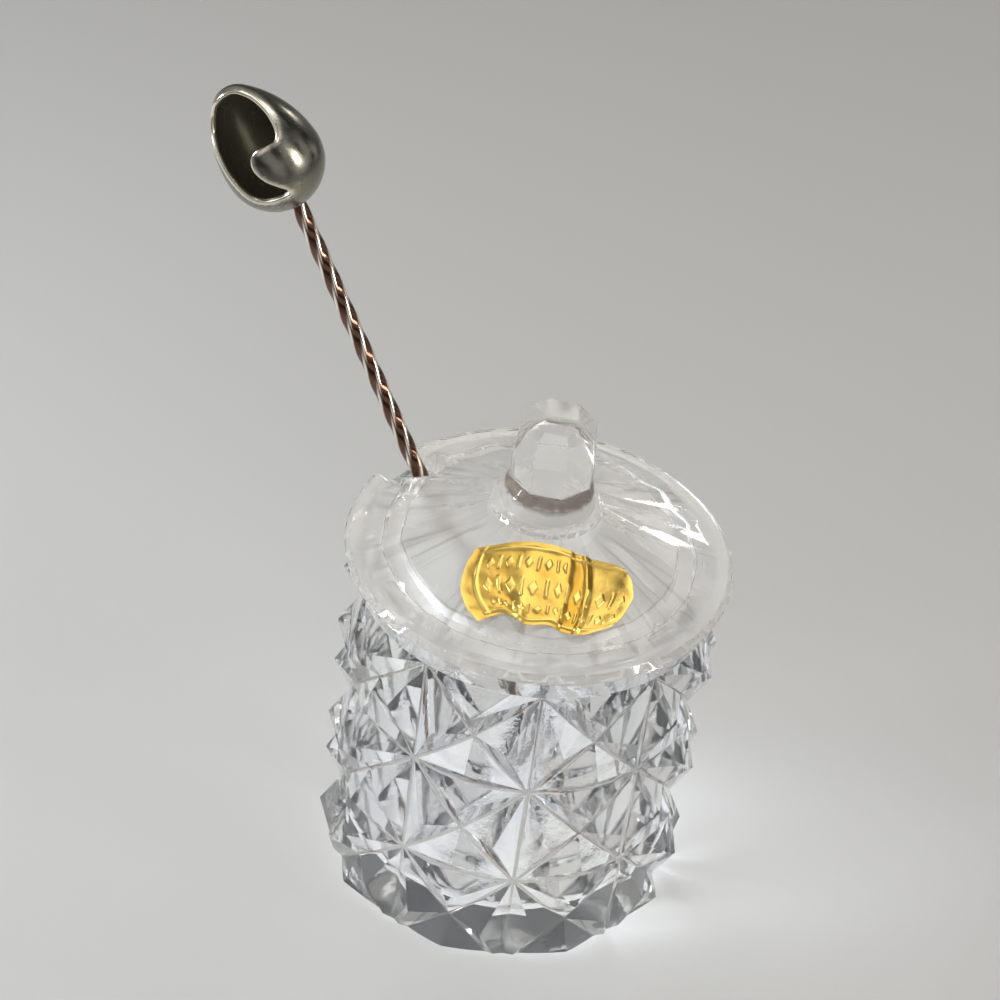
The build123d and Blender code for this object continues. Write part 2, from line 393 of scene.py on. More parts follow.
@dataclass(frozen=True)
class CrystalFinish:
    """Clear pressed crystal with a faint tint that drifts over the piece."""

    name: str
    tint: Colour
    second_tint: Colour
    ior: float = 1.56
    clean: float = 0.012
    smeared: float = 0.07
    satin: float = 0.35
    clearness: float = 0.92
    dulled_and_shaded: Colour = (0.42, 0.39, 0.35)
    ripple: float = 0.25
    drift: float = 28.0
    streaks: float = 0.0
    lines_per_radian: float = 16.0
    shadow: Colour = (0.92, 0.925, 0.935)

    def build(self) -> bpy.types.Material:
        """Builds the glass, which lets part of each lamp's light through to what stands behind it.

        Returns:
            The material.
        """
        material, nodes, links, shader = new_finish(self.name)
        set_inputs(shader, {"Transmission Weight": self.clearness, "IOR": self.ior})
        place, drift = add_node(nodes, "TexCoord"), add_node(nodes, "TexNoise", Scale=self.drift, Detail=1.0)
        tints = add_ramp(nodes, (0.35, self.tint), (0.65, self.second_tint))
        # Painted shade: the marked groove bottoms and the waist under the knob are mixed towards the darker colour,
        # and the flow lines are mixed towards it too.
        painted_shade = add_node(nodes, "Attribute", ("attribute_name", "painted_shade"))
        darkest, lines = add_node(nodes, "Math", MAXIMUM), self.flow_lines(nodes, links, place)
        shade_mix = add_node(nodes, "Mix", ("data_type", "RGBA"), B=(*self.dulled_and_shaded, 1))
        marks = BENCH.place(nodes, "handling_marks", Clean_Roughness=self.clean, Smeared_Roughness=self.smeared)
        inside = add_node(nodes, "Attribute", ("attribute_name", "satin"))
        rough = add_node(nodes, "Mix", B=self.satin)
        wire(links, (place, "Object", drift, "Vector"), (drift, "Fac", tints, "Fac"),
             (painted_shade, "Fac", darkest, 0), (lines, "Value", darkest, 1), (darkest, "Value", shade_mix, "Factor"),
             (tints, "Color", shade_mix, "A"), (shade_mix, "Result", shader, "Base Color"),
             (inside, "Fac", rough, "Factor"), (marks, "Roughness", rough, "A"),
             (rough, "Result", shader, "Roughness"))
        ripple = BENCH.place(nodes, "pressed_ripple", Size=150.0, Fine_Size=700.0, Fine_Share=0.2)
        bump_from(nodes, links, ripple.outputs["Height"], shader, self.ripple, 0.4 * MM)
        self.lighten_shadow(nodes, links, shader)
        return material

    def flow_lines(self, nodes: Nodes, links: Links, place: Node) -> Node:
        """Builds the thin dark lines that run out from the axis over a fluted surface.

        Args:
            nodes: The finish's nodes.
            links: The finish's links.
            place: The node that gives the place on the piece.

        Returns:
            The node that gives the lines' darkness.
        """
        split, polar = add_node(nodes, "SeparateXYZ"), add_node(nodes, "CombineXYZ")
        turn = add_node(nodes, "Math", ("operation", "ARCTAN2"))
        spread = add_node(nodes, "VectorMath", ("operation", "LENGTH"))
        lines = add_node(nodes, "TexNoise", Scale=self.lines_per_radian, Detail=3.0)
        limit = add_node(nodes, "MapRange", From_Min=0.54, From_Max=0.66, To_Max=self.streaks)
        fluted = add_node(nodes, "Attribute", ("attribute_name", "fluted"))
        total = add_node(nodes, "Math", MULTIPLY)
        wire(links, (place, "Object", split, "Vector"), (place, "Object", spread, 0),
             (split, "Y", turn, 0), (split, "X", turn, 1), (turn, "Value", polar, "X"),
             (spread, "Value", polar, "Y"), (polar, "Vector", lines, "Vector"), (lines, "Fac", limit, "Value"),
             (limit, "Result", total, 0), (fluted, "Fac", total, 1))
        return total

    def lighten_shadow(self, nodes: Nodes, links: Links, shader: Node) -> None:
        """Lets lamp light pass straight through the glass, instead of stopping at it."""
        rays, clear = add_node(nodes, "LightPath"), add_node(nodes, "BsdfTransparent", Color=(*self.shadow, 1))
        mix = add_node(nodes, "MixShader")
        wire(links, (rays, "Is Shadow Ray", mix, "Fac"), (shader, "BSDF", mix, 1), (clear, "BSDF", mix, 2),
             (mix, "Shader", nodes["Material Output"], "Surface"))


@dataclass(frozen=True)
class FoilFinish:
    """Thin gold foil with an embossed border, lifted lines and small creases."""

    name: str = "gold foil"
    bright: Colour = (1.0, 0.70, 0.18)
    deep: Colour = (0.60, 0.32, 0.03)
    roughness: Tuple[float, float] = (0.22, 0.42)
    crumple: float = 420.0

    def build(self) -> bpy.types.Material:
        """Builds the foil; its pattern follows the label's own map.

        Returns:
            The material.
        """
        material, nodes, links, shader = new_finish(self.name)
        shader.inputs["Metallic"].default_value = 1.0
        # Painted highlight: the relief mark lightens the raised folds, the pressed ornament and the panel right of
        # the ridge.
        relief = add_node(nodes, "Attribute", ("attribute_name", "relief"))
        place, crumple = add_node(nodes, "TexCoord"), add_node(nodes, "TexNoise", Scale=self.crumple, Detail=3.0)
        blend, tones = add_node(nodes, "Mix", Factor=0.3), add_ramp(nodes, (0.2, self.deep), (0.75, self.bright))
        rough = add_node(nodes, "MapRange", To_Min=self.roughness[0], To_Max=self.roughness[1])
        wire(links, (place, "Object", crumple, "Vector"), (relief, "Fac", blend, "A"), (crumple, "Fac", blend, "B"),
             (blend, "Result", tones, "Fac"), (tones, "Color", shader, "Base Color"),
             (crumple, "Fac", rough, "Value"), (rough, "Result", shader, "Roughness"))
        bump_from(nodes, links, crumple.outputs["Fac"], shader, 0.35, 0.25 * MM)
        return material


@dataclass(frozen=True)
class SilverFinish:
    """Silver plate in a bright, a middle and a dark tone, set by a mark that holds tarnishing together with painted
    light: painted highlight on the bowl's lip and the stem's corners, painted reflection on the stem's flats and
    painted shade inside the bowl.
    """

    name: str
    bright: Colour
    dulled_and_shaded: Colour
    dark: Colour
    clean: float = 0.12
    smeared: float = 0.30
    shine: float = 0.9

    def build(self) -> bpy.types.Material:
        """Builds the metal.

        Returns:
            The material.
        """
        material, nodes, links, shader = new_finish(self.name)
        tarnish_and_painted_light = add_node(nodes, "Attribute", ("attribute_name", "tarnish_and_painted_light"))
        tones = add_ramp(nodes, (0.0, self.bright), (0.5, self.dulled_and_shaded), (1.0, self.dark))
        marks = BENCH.place(nodes, "handling_marks", Clean_Roughness=self.clean, Smeared_Roughness=self.smeared,
                            Size=220.0, Hairlines=0.8)
        # Painted shade: where the mark is darkest, inside the bowl, the metal is made less metallic so that it stays
        # dark whatever it reflects.
        crust_and_shade = add_node(nodes, "MapRange", From_Min=0.6, From_Max=1.0, To_Min=1.0, To_Max=self.shine)
        wire(links, (tarnish_and_painted_light, "Fac", crust_and_shade, "Value"), (crust_and_shade, "Result", shader, "Metallic"),
             (tarnish_and_painted_light, "Fac", tones, "Fac"), (tones, "Color", shader, "Base Color"),
             (marks, "Roughness", shader, "Roughness"))
        ripple = BENCH.place(nodes, "pressed_ripple", Size=260.0, Fine_Size=1800.0, Fine_Share=0.25)
        bump_from(nodes, links, ripple.outputs["Height"], shader, 0.3, 0.15 * MM)
        return material


# ------------------------------------------------------------------ glass
@dataclass
class CutGlass:
    """A star-cut glass piece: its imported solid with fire-polished ridges and rounded grooves.

    plunged lists the surfaces that the mould's plunger left satin, each as a largest radius and two heights.
    """

    node: str
    body: Body
    slot: Slot
    finish: CrystalFinish
    plunged: Sequence[Spot]
    cut_radii: Plan
    cut_heights: Plan
    groove_width: float = 0.6
    ridge_width: float = 0.2
    narrow_share: float = 0.2
    edge_angle: float = 12.0
    crisp_angle: float = 40.0
    waist: Spot = (0.0, 0.0, 0.0)
    # Strength of the painted shade at the groove bottoms.
    painted_shade: float = 1.0

    def inside(self, place: Vector) -> float:
        """Tells whether the mould's plunger made the surface at a place, in metres, as 1 or 0."""
        return float(any(math.hypot(place.x, place.y) < radius * MM and low * MM < place.z < high * MM
                         for radius, low, high in self.plunged))

    def on_cut(self, place: Vector) -> bool:
        """Tells whether a place, in metres, is on the cut pattern, where the grooves have their full width."""
        radius, height = math.hypot(place.x, place.y) / MM, place.z / MM
        return self.cut_radii[0] < radius < self.cut_radii[1] and self.cut_heights[0] < height < self.cut_heights[1]

    def in_waist(self, place: Vector) -> bool:
        """Tells whether a place, in metres, is in the narrow waist under a knob, which gets painted shade."""
        return self.waist[0] < place.z / MM < self.waist[1] and math.hypot(place.x, place.y) < self.waist[2] * MM

    def build(self) -> Piece:
        """Copies the solid, joins its loose triangles and rounds its edges.

        Returns:
            The finished glass piece.
        """
        piece = bpy.data.objects.new(self.node + "_cut_glass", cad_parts[self.node].data.copy())
        bpy.context.scene.collection.objects.link(piece)
        self.join_triangles(piece)
        for _ in range(2):
            piece.data.materials.append(None)
        self.round_edges(piece, self.groove_width, 4, convex=False)
        self.mark_painted_shade(piece)
        self.round_edges(piece, self.ridge_width, 2, convex=True)
        self.finish_shading(piece)
        dress(piece, self.finish.build())
        mount(piece, self.body, self.slot, self.node)
        return piece

    def join_triangles(self, piece: Piece) -> None:
        """Merges the copied triangles and clears the lines between those that lie flat together."""
        hold(piece)
        bpy.ops.object.mode_set(mode="EDIT")
        bpy.ops.mesh.select_all(action="SELECT")
        bpy.ops.mesh.remove_doubles(threshold=0.004 * MM)
        bpy.ops.mesh.dissolve_limited(angle_limit=math.radians(0.4))
        bpy.ops.object.mode_set(mode="OBJECT")

    def round_edges(self, piece: Piece, width: float, segments: int, convex: bool) -> None:
        """Rounds either the ridges or the grooves, and marks the new strips with the second material place.

        Args:
            piece: The glass piece.
            width: Width of the rounding on each side of an edge, in millimetres.
            segments: Strips in each rounding.
            convex: True for the ridges, false for the grooves.
        """
        hold(piece)
        bpy.ops.object.mode_set(mode="EDIT")
        grid = bmesh.from_edit_mesh(piece.data)
        share = grid.edges.layers.float.get("bevel_weight_edge") or grid.edges.layers.float.new("bevel_weight_edge")
        for edge in grid.edges:
            sharp = edge.is_manifold and edge.calc_face_angle() > math.radians(self.edge_angle)
            wide = 1.0 if all(self.on_cut(vert.co) for vert in edge.verts) else self.narrow_share
            edge[share] = wide * (sharp and edge.is_convex == convex)
        bmesh.update_edit_mesh(piece.data)
        bpy.ops.object.mode_set(mode="OBJECT")
        modify(piece, "polished edges", "BEVEL", width=width * MM, segments=segments, limit_method="WEIGHT",
               use_clamp_overlap=convex, material=0 if convex else 1)

    def mark_painted_shade(self, piece: Piece) -> None:
        """Marks painted shade along the bottoms of the cut grooves and in the waist under the knob, and gives all
        faces one material place.
        """
        hold(piece)
        bpy.ops.object.mode_set(mode="EDIT")
        grid = bmesh.from_edit_mesh(piece.data)
        layer = grid.verts.layers.float.new("painted_shade")
        for vert in grid.verts:
            deep = all(face.material_index == 1 for face in vert.link_faces)
            vert[layer] = 1.0 if self.in_waist(vert.co) else self.painted_shade * (deep and self.on_cut(vert.co))
        for face in grid.faces:
            face.material_index = 0
        bmesh.update_edit_mesh(piece.data)
        bpy.ops.object.mode_set(mode="OBJECT")

    def finish_shading(self, piece: Piece) -> None:
        """Keeps the facets flat in the shading and marks the satin surfaces inside."""
        smooth(piece, self.crisp_angle)
        modify(piece, "flat facets", "WEIGHTED_NORMAL", keep_sharp=True)
        satin = piece.data.attributes.new("satin", "FLOAT", "POINT")
        fluted = piece.data.attributes.new("fluted", "FLOAT", "POINT")
        for index, vert in enumerate(piece.data.vertices):
            satin.data[index].value = self.inside(vert.co)
            fluted.data[index].value = float(self.on_cut(vert.co))


# ------------------------------------------------------------------ label
@dataclass(frozen=True)
class StampRow:
    """A row of plain ornament on the label, in shares of its height and width."""

    middle: float
    half: float
    pitch: float
    start: float
    end: float


@dataclass(frozen=True)
class Fold:
    """A fold up the label: its place and width in shares of the label's width, its height and its lean."""

    middle: float
    width: float
    height: float
    lean: float

    def offset(self, across: float, up: float) -> float:
        """Gives how many widths a place is to the right of the fold."""
        return (across - self.middle - self.lean * (up - 0.5)) / self.width


@dataclass
class FoilLabel:
    """The gold foil that follows the lid's front slope, with folds over the facets' ridges."""

    finish: FoilFinish
    columns: int = 240
    rows: int = 120
    thickness: float = 0.1
    gap: float = 0.08
    dome_top: float = 90.8
    ridge_fall: float = 0.434
    relief: float = 0.13
    band: Fold = Fold(0.35, 0.05, 0.5, 0.03)
    step: Fold = Fold(0.60, 0.007, 0.32, 0.02)
    ridge: Fold = Fold(0.705, 0.018, 0.40, -0.02)
    left_curl: Plan = (0.30, 0.05)
    right_curl: Plan = (0.22, 0.04)
    crumple: float = 0.05
    frame_lines: Sequence[Plan] = ((0.09, 0.022), (0.91, 0.022))
    side_line: Plan = (0.095, 0.010)
    stamps: Sequence[StampRow] = (
        StampRow(0.76, 0.07, 0.050, 0.14, 0.57), StampRow(0.51, 0.12, 0.062, 0.13, 0.94),
        StampRow(0.25, 0.08, 0.046, 0.14, 0.92),
    )
    left: Sequence[Plan] = ((-9.4, -27.2), (-10.9, -25.7), (-11.9, -24.4), (-13.1, -21.8), (-13.3, -19.2),
                            (-12.7, -15.9), (-11.5, -13.2))
    right: Sequence[Plan] = ((14.0, -23.8), (15.8, -21.7), (16.8, -19.1), (17.5, -16.6), (16.8, -13.4),
                             (15.3, -11.7))
    near: Sequence[Plan] = ((-9.4, -27.2), (-7.0, -26.0), (-4.9, -25.3), (-2.8, -26.3), (-0.8, -27.0), (2.9, -26.4),
                            (4.9, -26.8), (7.4, -27.0), (9.7, -26.4), (12.1, -25.0), (14.0, -23.8))
    far: Sequence[Plan] = ((-11.5, -13.2), (-8.4, -12.6), (-3.8, -12.0), (1.0, -11.9), (4.9, -12.1), (8.6, -12.3),
                           (13.4, -11.6), (15.3, -11.7))

    def plan(self, across: float, up: float) -> Vector:
        """Finds a place on the label in plan, from its four edges.

        Args:
            across: From 0 at the left edge to 1 at the right.
            up: From 0 at the near edge to 1 at the edge towards the knob.

        Returns:
            The place in plan, in millimetres.
        """
        low, high = smooth_curve(self.near, across), smooth_curve(self.far, across)
        west, east = smooth_curve(self.left, up), smooth_curve(self.right, up)
        flat = ((1 - across) * (1 - up) * smooth_curve(self.near, 0) + across * (1 - up) * smooth_curve(self.near, 1)
                + (1 - across) * up * smooth_curve(self.far, 0) + across * up * smooth_curve(self.far, 1))
        return (1 - up) * low + up * high + (1 - across) * west + across * east - flat

    def fold(self, across: float, up: float) -> float:
        """Gives the height of the folds, in millimetres: a raised band, a step and a sharp ridge, all upright."""
        band = self.band.height * math.exp(-self.band.offset(across, up) ** 2) * (0.6 + 0.4 * math.cos(3.0 * up))
        step = self.step.height / (1.0 + math.exp(self.step.offset(across, up)))
        ridge = self.ridge.height * math.exp(-self.ridge.offset(across, up) ** 2)
        curl = sum(rise * math.exp(-inset / reach)
                   for inset, (rise, reach) in ((across, self.left_curl), (1 - across, self.right_curl)))
        crumple = self.crumple * math.sin(31 * across + 6 * up) * math.sin(19 * up + 4 * across)
        return band + step + ridge + curl + crumple + self.crumple

    def stamp(self, across: float, up: float, row: StampRow) -> float:
        """Gives the pressed height of one row of plain ornament, from 0 to 1.

        Args:
            across: Place from the left edge to the right.
            up: Place from the near edge to the knob's side.
            row: The row of ornament.

        Returns:
            The height.
        """
        if not row.start < across < row.end:
            return 0.0
        count = (across - row.start) / row.pitch
        x, y = 2 * (count % 1.0) - 1, (up - row.middle) / row.half
        if int(count) % 2:
            shape = 1.0 - max(abs(x) / 0.28, abs(y))
        else:
            shape = 0.9 - abs(x) - abs(y)
        return max(0.0, min(1.0, 4.0 * shape))

    def emboss(self, across: float, up: float) -> float:
        """Gives the plain pressed pattern at a place: a frame and three rows of lozenges and bars, from 0 to 1."""
        frame_line = 0.0
        if up > 0.06 and across > 0.07:
            lines = [(across, *self.side_line)] + [(up, *line) for line in self.frame_lines]
            frame_line = max(math.exp(-((place - middle) / width) ** 2) for place, middle, width in lines)
        return max([frame_line] + [self.stamp(across, up, row) for row in self.stamps])

    def build(self) -> Piece:
        """Lays a grid over the slope, presses the pattern into it and gives it the foil's thickness.

        Returns:
            The finished label.
        """
        clear_selection()
        bpy.ops.mesh.primitive_grid_add(x_subdivisions=self.columns, y_subdivisions=self.rows, size=2.0)
        piece = named("foil_label_sheet")
        relief = piece.data.attributes.new("relief", "FLOAT", "POINT")
        for index, vert in enumerate(piece.data.vertices):
            across, up = (vert.co.x + 1) / 2, (vert.co.y + 1) / 2
            spot = self.plan(across, up)
            pressed, fold = self.emboss(across, up), self.fold(across, up)
            height = self.dome_top - self.ridge_fall * spot.length + self.gap + fold + self.relief * pressed
            # Painted highlight on the raised folds and the pressed ornament, and painted light on the panel right of
            # the ridge.
            relief.data[index].value = 0.18 + 0.75 * pressed + 0.7 * fold + (0.45 if across > 0.73 else 0.0)
            vert.co = Vector((spot.x, spot.y, height)) * MM
        modify(piece, "foil thickness", "SOLIDIFY", thickness=self.thickness * MM, offset=1.0)
        smooth(piece)
        dress(piece, self.finish.build())
        mount(piece, Body.LID, Slot.GOLD_FOIL, "foil_label")
        return piece


# ------------------------------------------------------------------ spoon
@dataclass(frozen=True)
class SpoonLine:
    """The line that the spoon stands on, in the plane of the lid's notch, and the lean of its bowl."""

    notch_angle: float = -122.5
    lean: float = 37.4
    rim_height: float = 73.3
    rim_radius: float = 26.5
    foot_height: float = 8.8
    stem_top: float = 59.4
    socket: float = 1.2
    bowl_turn: float = 12.0
    bowl_tilt: float = 18.0
    bowl_offset: float = 1.8
    bowl_shift: float = 2.4

    def up(self) -> Vector:
        """Gives the direction along the stem towards the bowl."""
        lean = math.radians(self.lean)
        return around(self.notch_angle, math.sin(lean), math.cos(lean)).normalized()

    def top(self) -> Vector:
        """Gives the place where the stem meets the bowl's socket, in metres."""
        return around(self.notch_angle, self.rim_radius, self.rim_height) + self.up() * self.stem_top * MM

    def foot(self) -> Vector:
        """Gives the stem's lower end, in metres."""
        back = (self.rim_height - self.foot_height) / math.cos(math.radians(self.lean))
        return around(self.notch_angle, self.rim_radius, self.rim_height) - self.up() * back * MM

    def facing(self) -> Vector:
        """Gives the side of the stem that the bowl leans to."""
        level = Vector((0, 0, 1)).cross(self.up()).normalized()
        turn = math.radians(self.bowl_turn)
        return level * math.cos(turn) + self.up().cross(level) * math.sin(turn)

    def stem_frame(self, place: Vector) -> Matrix:
        """Gives the matrix that stands a piece on the stem's line, with its X to the mouth's side."""
        return self.frame_of(place, self.facing(), self.up())

    def bowl_frame(self) -> Matrix:
        """Gives the matrix that stands the egg on the socket, with its X out of the mouth."""
        tilt = math.radians(self.bowl_tilt)
        along = self.up() * math.cos(tilt) + self.facing() * math.sin(tilt)
        mouth = self.facing() * math.cos(tilt) - self.up() * math.sin(tilt)
        aside = mouth * self.bowl_offset + along.cross(mouth) * self.bowl_shift
        place = self.top() + (self.up() * self.socket + aside) * MM
        return self.frame_of(place, mouth, along)

    def frame_of(self, place: Vector, ahead: Vector, up: Vector) -> Matrix:
        """Builds a matrix from a place and two directions.

        Args:
            place: Where the piece's own origin goes, in metres.
            ahead: Direction of its X.
            up: Direction of its Z.

        Returns:
            The matrix.
        """
        turn = Matrix((ahead, up.cross(ahead), up)).transposed().to_4x4()
        return Matrix.Translation(place) @ turn


@dataclass
class TwistedStem:
    """The spoon's stem: a square bar with soft corners, twisted right-handed."""

    line: SpoonLine
    finish: bpy.types.Material
    corner_radius: float = 1.93
    corner_round: float = 0.78
    flat_radius: float = 1.49
    rubbed_and_lit_radius: float = 1.57
    pitch: float = 27.0
    cuts: int = 220
    end_inset: float = 0.5
    end_rise: float = 0.35

    def along(self, spot: Vector, length: float) -> bool:
        """Tells whether an edge's middle, in metres, is on one of the bar's long edges."""
        return 0.1 * length * MM < spot.z < 0.9 * length * MM

    def build(self) -> Piece:
        """Draws the bar out of a four-sided blank, rounds its corners, twists it and stands it in the pot.

        Returns:
            The finished stem.
        """
        length = (self.line.top() - self.line.foot()).length / MM
        clear_selection()
        bpy.ops.mesh.primitive_cylinder_add(vertices=4, radius=self.corner_radius * MM, depth=length * MM,
                                            location=(0, 0, length / 2 * MM))
        piece = named("spoon_stem_bar")
        settle(piece)
        bpy.ops.object.mode_set(mode="EDIT")
        pick(piece, lambda spot: self.along(spot, length), "EDGE")
        bpy.ops.mesh.bevel(offset=self.corner_round * MM, segments=3, profile=0.5)
        pick(piece, lambda spot: self.along(spot, length), "EDGE")
        bpy.ops.mesh.subdivide(number_cuts=self.cuts)
        pick(piece, lambda spot: spot.z < 0.001 * MM, "FACE")
        bpy.ops.mesh.inset(thickness=self.end_inset * MM, depth=self.end_rise * MM)
        bpy.ops.object.mode_set(mode="OBJECT")
        modify(piece, "twist", "SIMPLE_DEFORM", deform_method="TWIST", deform_axis="Z",
               angle=2 * math.pi * length / self.pitch)
        mark_tarnish_and_painted_light(piece, self.tarnish_and_painted_light)
        piece.matrix_world = self.line.stem_frame(self.line.foot())
        settle(piece)
        smooth(piece)
        dress(piece, self.finish)
        mount(piece, Body.SPOON, Slot.SPOON_METAL, "spoon_stem")
        return piece

    def tarnish_and_painted_light(self, place: Vector) -> float:
        """Gives how brown the bar is: most in the middle of each flat, least on the corners; partly tarnishing,
        partly painted reflection, dark on the flats and bright on the corners.
        """
        share = (math.hypot(place.x, place.y) - self.flat_radius) / (self.rubbed_and_lit_radius - self.flat_radius)
        return max(0.0, min(1.0, 1.0 - share))


@dataclass(frozen=True)
class Egg:
    """The bowl's outside, in millimetres: an egg that stands on its wide end, with its long axis along Z."""

    length: float = 25.79
    wide: float = 9.3
    narrow: float = 4.8

    def radius(self, height: float) -> float:
        """Gives the distance of the surface from the long axis.

        Args:
            height: Height over the egg's foot.

        Returns:
            The radius there, or 0 outside the egg.
        """
        rise = self.length - self.narrow - self.wide
        side = (rise ** 2 + self.wide ** 2 - self.narrow ** 2) / (2 * (self.wide - self.narrow))
        join = self.wide + rise * side / (side - self.narrow)
        if height < self.wide:
            return math.sqrt(max(0.0, self.wide ** 2 - (height - self.wide) ** 2))
        if height < join:
            return math.sqrt(side ** 2 - (height - self.wide) ** 2) - side + self.wide
        return math.sqrt(max(0.0, self.narrow ** 2 - (height - self.length + self.narrow) ** 2))

    def cast(self, start: Vector, way: Vector) -> Vector:
        """Finds where a line from a place inside leaves the egg.

        Args:
            start: The place inside.
            way: Direction of the line.

        Returns:
            The place on the surface.
        """
        near, far = 0.0, self.length
        for _ in range(36):
            middle = (near + far) / 2
            spot = start + way * middle
            inside = 0 < spot.z < self.length and math.hypot(spot.x, spot.y) < self.radius(spot.z)
            near, far = (middle, far) if inside else (near, middle)
        return start + way * near


@dataclass
class SpoonBowl:
    """The spoon's deep bowl: an egg-shaped shell, open round its tip, with a lobe pressed in on one side.

    The mouth's places are out of the mouth, across and along the egg.
    """

    line: SpoonLine
    finish: bpy.types.Material
    egg: Egg = Egg()
    wall: float = 0.9
    bead: float = 0.42
    lip: float = 1.7
    socket_radius: float = 2.1
    socket_foot: Plan = (0.5, 0.82)
    socket_steps: Sequence[Plan] = ((0.35, 1.2), (0.6, 1.0), (0.3, 0.84), (1.4, 1.1))
    rim_points: int = 240
    middle: float = 13.0
    reach: float = 2.5
    mouth: Sequence[Spot] = (
        (0.6, 1.3, 25.5), (0.3, 2.4, 25.1), (0.2, 3.8, 24.0), (0.2, 4.8, 22.7), (0.7, 5.8, 21.2), (1.4, 6.7, 19.5),
        (2.4, 7.3, 17.6), (3.3, 7.5, 16.3), (4.2, 7.3, 15.3), (5.3, 6.7, 14.9), (6.6, 5.4, 15.2), (7.5, 4.0, 15.4),
        (8.2, 2.8, 14.8), (8.7, 2.2, 13.4), (8.9, 2.4, 11.8), (8.7, 3.1, 10.1), (8.3, 4.1, 8.6), (7.6, 4.9, 7.0),
        (6.9, 4.8, 5.7), (7.5, 3.6, 5.2), (8.3, 1.8, 5.4), (8.7, -0.4, 6.0), (8.8, -2.2, 7.3), (8.7, -3.3, 9.0),
        (8.3, -4.1, 11.0), (7.7, -4.7, 12.8), (7.0, -5.1, 14.6), (6.1, -5.4, 16.4), (4.9, -5.6, 18.2),
        (3.5, -5.7, 19.8), (2.6, -5.2, 21.3), (1.9, -4.3, 22.9), (1.8, -3.0, 24.3), (1.7, -1.5, 25.2),
        (1.2, 0.1, 25.6),
    )

    def lift(self, spot: Vector) -> Vector:
        """Lays a place near the egg on its surface, along the line from the egg's middle."""
        start = Vector((0, 0, self.middle))
        return self.egg.cast(start, (spot - start).normalized())

    def rim(self) -> List[Vector]:
        """Finds evenly spaced places along the mouth's rim.

        Returns:
            The places, in millimetres.
        """
        steps = 50 * len(self.mouth)
        run = [self.lift(smooth_curve(self.mouth, step / steps, closed=True)) for step in range(steps)]
        run.append(run[0])
        travel = [0.0]
        for start, end in zip(run, run[1:]):
            travel.append(travel[-1] + (end - start).length)
        places, index = [], 0
        for step in range(self.rim_points):
            wanted = travel[-1] * step / self.rim_points
            while travel[index + 1] <= wanted:
                index += 1
            share = (wanted - travel[index]) / (travel[index + 1] - travel[index])
            places.append(run[index].lerp(run[index + 1], share))
        return places

    def build(self) -> Piece:
        """Shapes a ball into the egg, hollows it, cuts the mouth, and adds bead and socket.

        Returns:
            The finished bowl.
        """
        clear_selection()
        bpy.ops.mesh.primitive_uv_sphere_add(segments=96, ring_count=64, radius=self.egg.wide * MM)
        piece = named("spoon_bowl_shell")
        middle = Vector((0, 0, self.middle))
        for vert in piece.data.vertices:
            vert.co = self.egg.cast(middle, vert.co.normalized()) * MM
        modify(piece, "wall", "SOLIDIFY", thickness=self.wall * MM, offset=-1.0)
        self.cut_mouth(piece)
        face_outwards(piece)
        rim = self.rim()
        mark_tarnish_and_painted_light(piece, lambda place: self.tarnish_and_painted_light(place, rim))
        self.join(piece, self.build_bead())
        piece.matrix_world = self.line.bowl_frame()
        settle(piece)
        self.join(piece, self.build_socket())
        smooth(piece)
        dress(piece, self.finish)
        mount(piece, Body.SPOON, Slot.SPOON_METAL, "spoon_bowl")
        return piece

    def cut_mouth(self, piece: Piece) -> None:
        """Cuts the mouth with a spike that widens from the egg's middle through the rim."""
        rim = self.rim()
        middle = Vector((0, 0, self.middle))
        clear_selection()
        bpy.ops.mesh.primitive_circle_add(vertices=len(rim), radius=MM, fill_type="NGON")
        cutter = named("mouth_cutter")
        for vert, spot in zip(cutter.data.vertices, rim):
            vert.co = middle.lerp(spot, self.reach) * MM
        bpy.ops.object.mode_set(mode="EDIT")
        bpy.ops.mesh.select_all(action="SELECT")
        bpy.ops.mesh.quads_convert_to_tris()
        bpy.ops.mesh.extrude_region_move()
        bpy.ops.transform.resize(value=(0, 0, 0), center_override=middle * MM)
        bpy.ops.object.mode_set(mode="OBJECT")
        face_outwards(cutter)
        modify(piece, "mouth", "BOOLEAN", operation="DIFFERENCE", solver="EXACT", object=cutter)
        bpy.data.objects.remove(cutter)

    def join(self, piece: Piece, part: Piece) -> None:
        """Joins a part to the bowl."""
        hold(piece)
        part.select_set(True)
        bpy.ops.object.join()

    def build_bead(self) -> Piece:
        """Runs a round bead along the rim, sunk so that it stays inside the egg.

        Returns:
            The bead.
        """
        rim = self.rim()
        curve = bpy.data.curves.new("spoon_rim_bead", "CURVE")
        curve.dimensions = "3D"
        curve.bevel_depth = self.bead * MM
        curve.bevel_resolution = 5
        run = curve.splines.new("POLY")
        run.points.add(len(rim) - 1)
        for point, place in zip(run.points, rim):
            axis = Vector((0, 0, min(max(place.z, self.egg.wide), self.egg.length - self.egg.narrow)))
            point.co = (*((place + (axis - place).normalized() * self.bead) * MM), 1.0)
        run.use_cyclic_u = True
        bead = bpy.data.objects.new("spoon_rim_bead", curve)
        bpy.context.scene.collection.objects.link(bead)
        hold(bead)
        bpy.ops.object.convert(target="MESH")
        bead = bpy.context.active_object
        mark_tarnish_and_painted_light(bead, lambda place: 0.0)
        return bead

